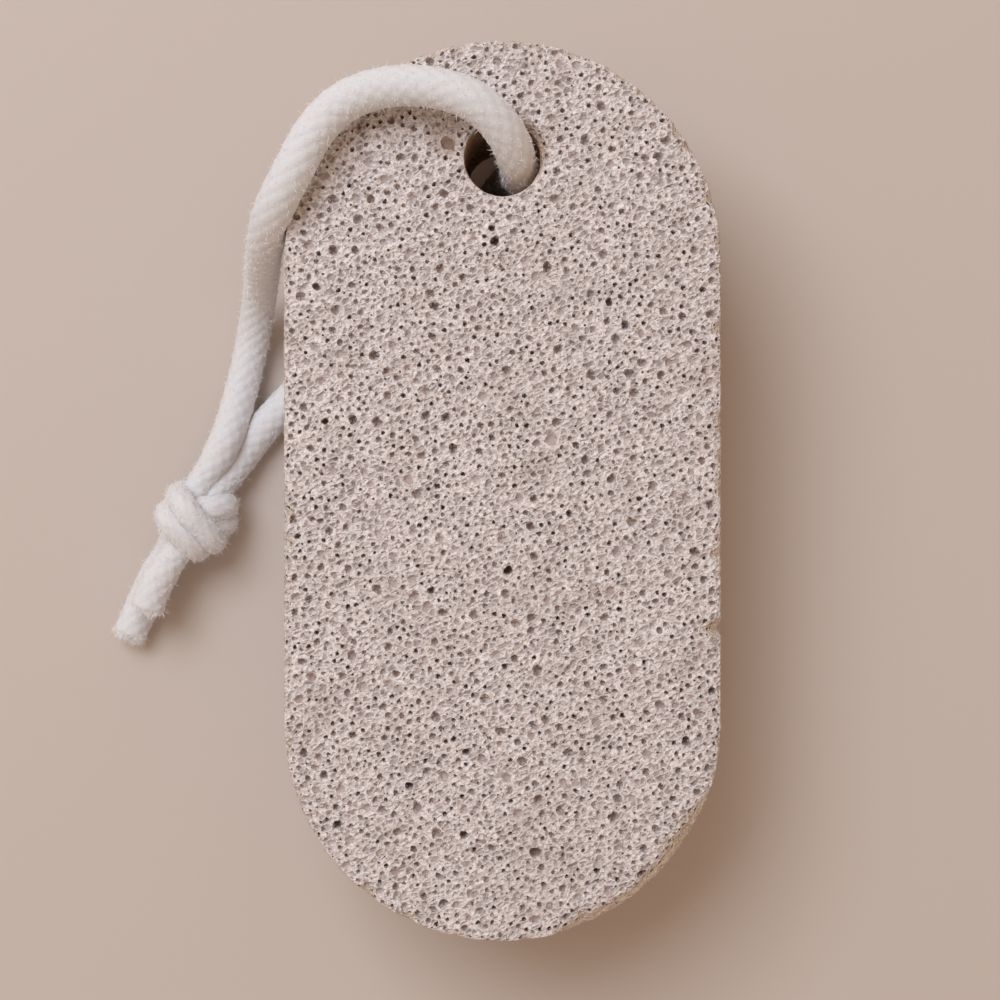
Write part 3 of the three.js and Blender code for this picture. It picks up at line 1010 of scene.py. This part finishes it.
side_new, side_worn, side_dark, side_tan, side_hollow = new_rows(
    [side_points, side_wear, side.dark, side.tan, side.hollow], rim_count, side_seam
)
bore_new, bore_dark, bore_tan, bore_hollow = new_rows(
    [bore_points, bore.dark, bore.tan, bore.hollow], hole_count, bore_seam
)
first_side = len(front_points) + len(back_points)
first_bore = first_side + len(side_new)
side_number = sew_strip(side_points, rim_count, side_seam, first_side, 0)
bore_number = sew_strip(bore_points, hole_count, bore_seam, first_bore, rim_count)
skin_points = np.concatenate([front_points, back_points, side_new, bore_new])
skin_faces = np.concatenate([
    front.triangles,
    len(front_points) + back.triangles[:, ::-1],
    side_number[side.triangles],
    bore_number[bore.triangles],
])
print("the skin has", len(skin_points), "points and", len(skin_faces), "triangles")

# %% [markdown]
# The finish needs to know what each point is: how dark and how tan its bubble is, whether it lies in
# a bubble, on the hole's wall or on a worn rim. Point attributes carry that along with the shape.
# The real stone is stained brown on the hole's worn rim and at one mark left of the hole. Its outer
# rims are painted tan where they are worn: partly wear, and partly painted warm reflected light, most
# on the crumbled bevel.

# %% The stone
BROWN_MARK = np.array([-6.4 * MM, 38.8 * MM])
MARK_REACH = 2.6 * MM
BROWN_WEAR = 0.5 * MM
STAIN = 0.5
FULLY_WORN = 0.7 * MM
SHARP_ANGLE = math.radians(38)

stone = make_piece("pumice_bar", to_part(skin_points), skin_faces)
from_mark = np.linalg.norm(front.flat - BROWN_MARK, axis=1)
mark_stain = STAIN * np.clip(2 - 2 * from_mark / MARK_REACH, 0, 1)
front_tan = np.maximum(front.tan, mark_stain + np.minimum(front_hole / BROWN_WEAR, STAIN))
back_tan = np.maximum(back.tan, np.minimum(back_hole / BROWN_WEAR, STAIN))
worn = [front_deep - front.sunk, back_deep - back.sunk, side_worn, np.zeros(len(bore_new))]
attributes = {
    "dark": np.concatenate([front.dark, back.dark, side_dark, bore_dark]),
    "tan": np.concatenate([front_tan, back_tan, side_tan, bore_tan]),
    "hollow": np.concatenate([front.hollow, back.hollow, side_hollow, bore_hollow]),
    # Marks the hole's wall, which the finish paints dark brown as painted shade.
    "bore": np.repeat([0, 1], [first_bore, len(bore_new)]),
    "worn": np.clip(np.concatenate(worn) / FULLY_WORN, 0, 1),
}
for name, values in attributes.items():
    layer = stone.data.attributes.new(name, "FLOAT", "POINT")
    layer.data.foreach_set("value", values.astype(np.float32))
stone.data.set_sharp_from_angle(angle=SHARP_ANGLE)
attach(stone, "root")
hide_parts("pumice_stone")
print("stone box in mm", np.round(np.ptp(to_part(skin_points), axis=0) / MM, 2).tolist())

# %% [markdown]
# ## Finishes
# Pumice is matt and pale, a little pink, with browner bubbles. The points carry how dark and how tan
# each bubble is, so the colour follows the shape exactly: the darkness is painted shade, heaviest in
# the deep bubbles, and every bubble's inside is painted greyer than its rim as shade. Between the
# bubbles the walls are a finer foam: small cells dent them and are painted darker towards their
# middles as painted shade, and noise gives the powdery grain that is too small for triangles. Short
# helpers keep the node trees readable.

# %% Colour helpers
# A mix node has one set of sockets for each kind of data. These are the numbers of the colour ones.
COLOUR_A, COLOUR_B, MIXED_COLOUR = 6, 7, 2


def new_finish(name):
    """A material with its node tree and shader."""
    finish = bpy.data.materials.new(name)
    finish.use_nodes = True
    tree = finish.node_tree
    return finish, tree, tree.nodes["Principled BSDF"]


def attribute(tree, name):
    """The output of a point attribute as a number."""
    node = tree.nodes.new("ShaderNodeAttribute")
    node.attribute_name = name
    return node.outputs["Fac"]


def mixed(tree, share, first, second):
    """A colour mix. Each colour is an output of another node or a fixed colour."""
    node = tree.nodes.new("ShaderNodeMix")
    node.data_type = "RGBA"
    tree.links.new(share, node.inputs["Factor"])
    for socket, colour in ((node.inputs[COLOUR_A], first), (node.inputs[COLOUR_B], second)):
        if isinstance(colour, tuple):
            socket.default_value = (*colour, 1)
        else:
            tree.links.new(colour, socket)
    return node.outputs[MIXED_COLOUR]


def product(tree, first, second):
    """Two numbers multiplied."""
    node = tree.nodes.new("ShaderNodeMath")
    node.operation = "MULTIPLY"
    tree.links.new(first, node.inputs[0])
    tree.links.new(second, node.inputs[1])
    return node.outputs["Value"]


def ramp(tree, value, low, high, top=1.0):
    """Maps a number from low..high to 0..top, clamped. With low above high it falls instead."""
    node = tree.nodes.new("ShaderNodeMapRange")
    node.inputs["From Min"].default_value = low
    node.inputs["From Max"].default_value = high
    node.inputs["To Max"].default_value = top
    tree.links.new(value, node.inputs["Value"])
    return node.outputs["Result"]


# %% Texture helpers
GRAIN_ANGLE = math.radians(28)
NOISE_DETAIL = 3


def coordinates(tree, scale, stretch):
    """Object coordinates for a texture, scale per metre. They are drawn out by stretch along the foam's
    grain, which climbs to the right across the front face."""
    place = tree.nodes.new("ShaderNodeTexCoord")
    turned = tree.nodes.new("ShaderNodeMapping")
    turned.vector_type = "TEXTURE"
    turned.inputs["Rotation"].default_value = (0, 0, GRAIN_ANGLE)
    turned.inputs["Scale"].default_value = (stretch / scale, 1 / scale, 1 / scale)
    tree.links.new(place.outputs["Object"], turned.inputs["Vector"])
    return turned.outputs["Vector"]


def noise(tree, scale, stretch=1.0):
    """Soft noise between 0 and 1."""
    node = tree.nodes.new("ShaderNodeTexNoise")
    node.inputs["Scale"].default_value = 1
    node.inputs["Detail"].default_value = NOISE_DETAIL
    tree.links.new(coordinates(tree, scale, stretch), node.inputs["Vector"])
    return node.outputs["Fac"]


def foam(tree, scale, stretch, feature, output):
    """Cells of foam: with one feature the distance from a cell's wall, with another a random colour."""
    node = tree.nodes.new("ShaderNodeTexVoronoi")
    node.feature = feature
    node.inputs["Scale"].default_value = 1
    tree.links.new(coordinates(tree, scale, stretch), node.inputs["Vector"])
    return node.outputs[output]


def bump(tree, height, distance, strength, under=None):
    """A bumped normal on top of another one. The strength is a number or an output of another node."""
    node = tree.nodes.new("ShaderNodeBump")
    if isinstance(strength, float):
        node.inputs["Strength"].default_value = strength
    else:
        tree.links.new(strength, node.inputs["Strength"])
    node.inputs["Distance"].default_value = distance
    tree.links.new(height, node.inputs["Height"])
    if under:
        tree.links.new(under, node.inputs["Normal"])
    return node.outputs["Normal"]


# %% Pumice
WALL_COLOUR = (0.70, 0.605, 0.575)
PALE_COLOUR = (0.98, 0.905, 0.88)
CELL_SHADE_COLOUR = (0.34, 0.275, 0.26)
HOLLOW_SHADE_COLOUR = (0.57, 0.478, 0.458)
STREAK_COLOUR = (0.54, 0.44, 0.37)
DEEP_SHADE_COLOUR = (0.165, 0.105, 0.085)
TAN_COLOUR = (0.36, 0.225, 0.15)
BORE_SHADE_COLOUR = (0.62, 0.42, 0.30)
WORN_AND_BOUNCE_COLOUR = (0.76, 0.63, 0.50)
FOAM_SCALE = 1750
FOAM_STRETCH = 1.5
WALL_TO_CELL = (0.02, 0.32)
WALL_TO_DENT = (0.3, 0.02)
OPEN_CELLS = (0.3, 0.85)
MOTTLE_SCALE = 3200
MOTTLE = (0.38, 0.62)
STREAK_SCALE = 330
STREAK_STRETCH = 3.5
STREAKS = (0.5, 0.75, 0.35)
GRAIN_SCALE = 4200
CELL_RELIEF = 0.16 * MM
GRAIN_RELIEF = 0.1 * MM
SMOOTHER_INSIDE = (1.3, 0.2)
PUMICE_ROUGHNESS = 0.95
PUMICE_GLOSS = 0.2

pumice, tree, shader = new_finish("pumice")
from_wall = foam(tree, FOAM_SCALE, FOAM_STRETCH, "DISTANCE_TO_EDGE", "Distance")
cell_chance = foam(tree, FOAM_SCALE, FOAM_STRETCH, "F1", "Color")
hollow = attribute(tree, "hollow")
# Painted shade: random small foam cells are painted darker towards their middles, where the dents are
# deepest.
painted_cell_shade = product(tree, ramp(tree, from_wall, *WALL_TO_CELL), ramp(tree, cell_chance, *OPEN_CELLS))
mottled = ramp(tree, noise(tree, MOTTLE_SCALE), *MOTTLE)
streaked = ramp(tree, noise(tree, STREAK_SCALE, STREAK_STRETCH), *STREAKS)
colour = mixed(tree, mottled, WALL_COLOUR, PALE_COLOUR)
colour = mixed(tree, streaked, colour, STREAK_COLOUR)
colour = mixed(tree, painted_cell_shade, colour, CELL_SHADE_COLOUR)
# Painted shade: the inside of every bubble is painted darker and greyer than its rim.
colour = mixed(tree, hollow, colour, HOLLOW_SHADE_COLOUR)
# Worn rims turn tan: partly wear, partly painted warm reflected light on the worn bevels.
colour = mixed(tree, attribute(tree, "worn"), colour, WORN_AND_BOUNCE_COLOUR)
# Painted shade: bubbles are painted darker the deeper they are.
colour = mixed(tree, attribute(tree, "dark"), colour, DEEP_SHADE_COLOUR)
colour = mixed(tree, attribute(tree, "tan"), colour, TAN_COLOUR)
# Painted shade: the hole's wall is painted dark brown.
colour = mixed(tree, attribute(tree, "bore"), colour, BORE_SHADE_COLOUR)
tree.links.new(colour, shader.inputs["Base Color"])
shader.inputs["Roughness"].default_value = PUMICE_ROUGHNESS
shader.inputs["Specular IOR Level"].default_value = PUMICE_GLOSS
strength = ramp(tree, hollow, *SMOOTHER_INSIDE)
dented = bump(tree, ramp(tree, from_wall, *WALL_TO_DENT), CELL_RELIEF, strength)
grained = bump(tree, noise(tree, GRAIN_SCALE), GRAIN_RELIEF, strength, dented)
tree.links.new(grained, shader.inputs["Normal"])
stone.data.materials.append(pumice)
print("the pumice finish has", len(tree.nodes), "nodes")

# %% [markdown]
# The cord is a soft, matt white textile. Light goes a little way into it, which softens the shadows
# between its strands, and a fine bump stands for single threads. The loose fibres are paler, because
# each is so thin that light passes round and through it.

# %% Cord finish
CORD_COLOUR = (0.77, 0.755, 0.76)
FIBRE_COLOUR = (0.96, 0.95, 0.95)
TEXTILE = {"Roughness": 0.85, "Specular IOR Level": 0.25, "Sheen Weight": 0.3, "Sheen Roughness": 0.5}
LIGHT_INSIDE = 0.4
LIGHT_DEPTH = 0.9 * MM
THREAD_SCALE = 5200
THREAD_RELIEF = 0.08 * MM
THREAD_STRENGTH = 0.5


def textile(name, colour):
    """A matt white textile with the soft sheen of fine fibres."""
    finish, tree, shader = new_finish(name)
    shader.inputs["Base Color"].default_value = (*colour, 1)
    for socket, value in TEXTILE.items():
        shader.inputs[socket].default_value = value
    return finish, tree, shader


braid, tree, shader = textile("white_braid", CORD_COLOUR)
shader.inputs["Subsurface Weight"].default_value = LIGHT_INSIDE
shader.inputs["Subsurface Radius"].default_value = (1, 1, 1)
shader.inputs["Subsurface Scale"].default_value = LIGHT_DEPTH
threads = bump(tree, noise(tree, THREAD_SCALE), THREAD_RELIEF, THREAD_STRENGTH)
tree.links.new(threads, shader.inputs["Normal"])
cord.data.materials.append(braid)
fibres.data.materials.append(textile("white_fibre", FIBRE_COLOUR)[0])
print("the cord's finish has", len(tree.nodes), "nodes")

# %% [markdown]
# ## Floor and light
# A plain pale floor and soft studio light: one broad, cool key light from the upper left, and a warm
# glow from all round that fills the shadows.

# %% Floor
FLOOR_SIZE = 12.0
FLOOR_COLOUR = (0.62, 0.53, 0.47)
FLOOR_ROUGHNESS = 0.9

floor_mesh = bpy.data.meshes.new("floor")
half = FLOOR_SIZE / 2
corners = [(-half, -half, 0), (half, -half, 0), (half, half, 0), (-half, half, 0)]
floor_mesh.from_pydata(corners, [], [(0, 1, 2, 3)])
floor = bpy.data.objects.new("floor", floor_mesh)
bpy.context.collection.objects.link(floor)
floor_paint, _, floor_shader = new_finish("pale_floor")
floor_shader.inputs["Base Color"].default_value = (*FLOOR_COLOUR, 1)
floor_shader.inputs["Roughness"].default_value = FLOOR_ROUGHNESS
floor_mesh.materials.append(floor_paint)
print("floor", FLOOR_SIZE, "m across")

# %% Light
KEY_PLACE = Vector((-0.25, 0.30, 0.65))
KEY_SIZE = 0.45
KEY_POWER = 3.82
KEY_COLOUR = (0.75, 0.874, 1.0)
GLOW_COLOUR = (1.0, 0.76, 0.58)
GLOW_STRENGTH = 0.5

key_light = bpy.data.lights.new("key", "AREA")
key_light.size = KEY_SIZE
key_light.energy = KEY_POWER
key_light.color = KEY_COLOUR
key = bpy.data.objects.new("key", key_light)
key.location = KEY_PLACE
key.rotation_mode = "QUATERNION"
key.rotation_quaternion = (-KEY_PLACE).to_track_quat("-Z", "Y")
bpy.context.collection.objects.link(key)
world = bpy.data.worlds.new("studio")
world.use_nodes = True
background = world.node_tree.nodes["Background"]
background.inputs["Color"].default_value = (*GLOW_COLOUR, 1)
background.inputs["Strength"].default_value = GLOW_STRENGTH
bpy.context.scene.world = world
bpy.context.scene.view_settings.view_transform = "Standard"
print("the key light hangs", round(KEY_PLACE.length, 2), "m from the stone")
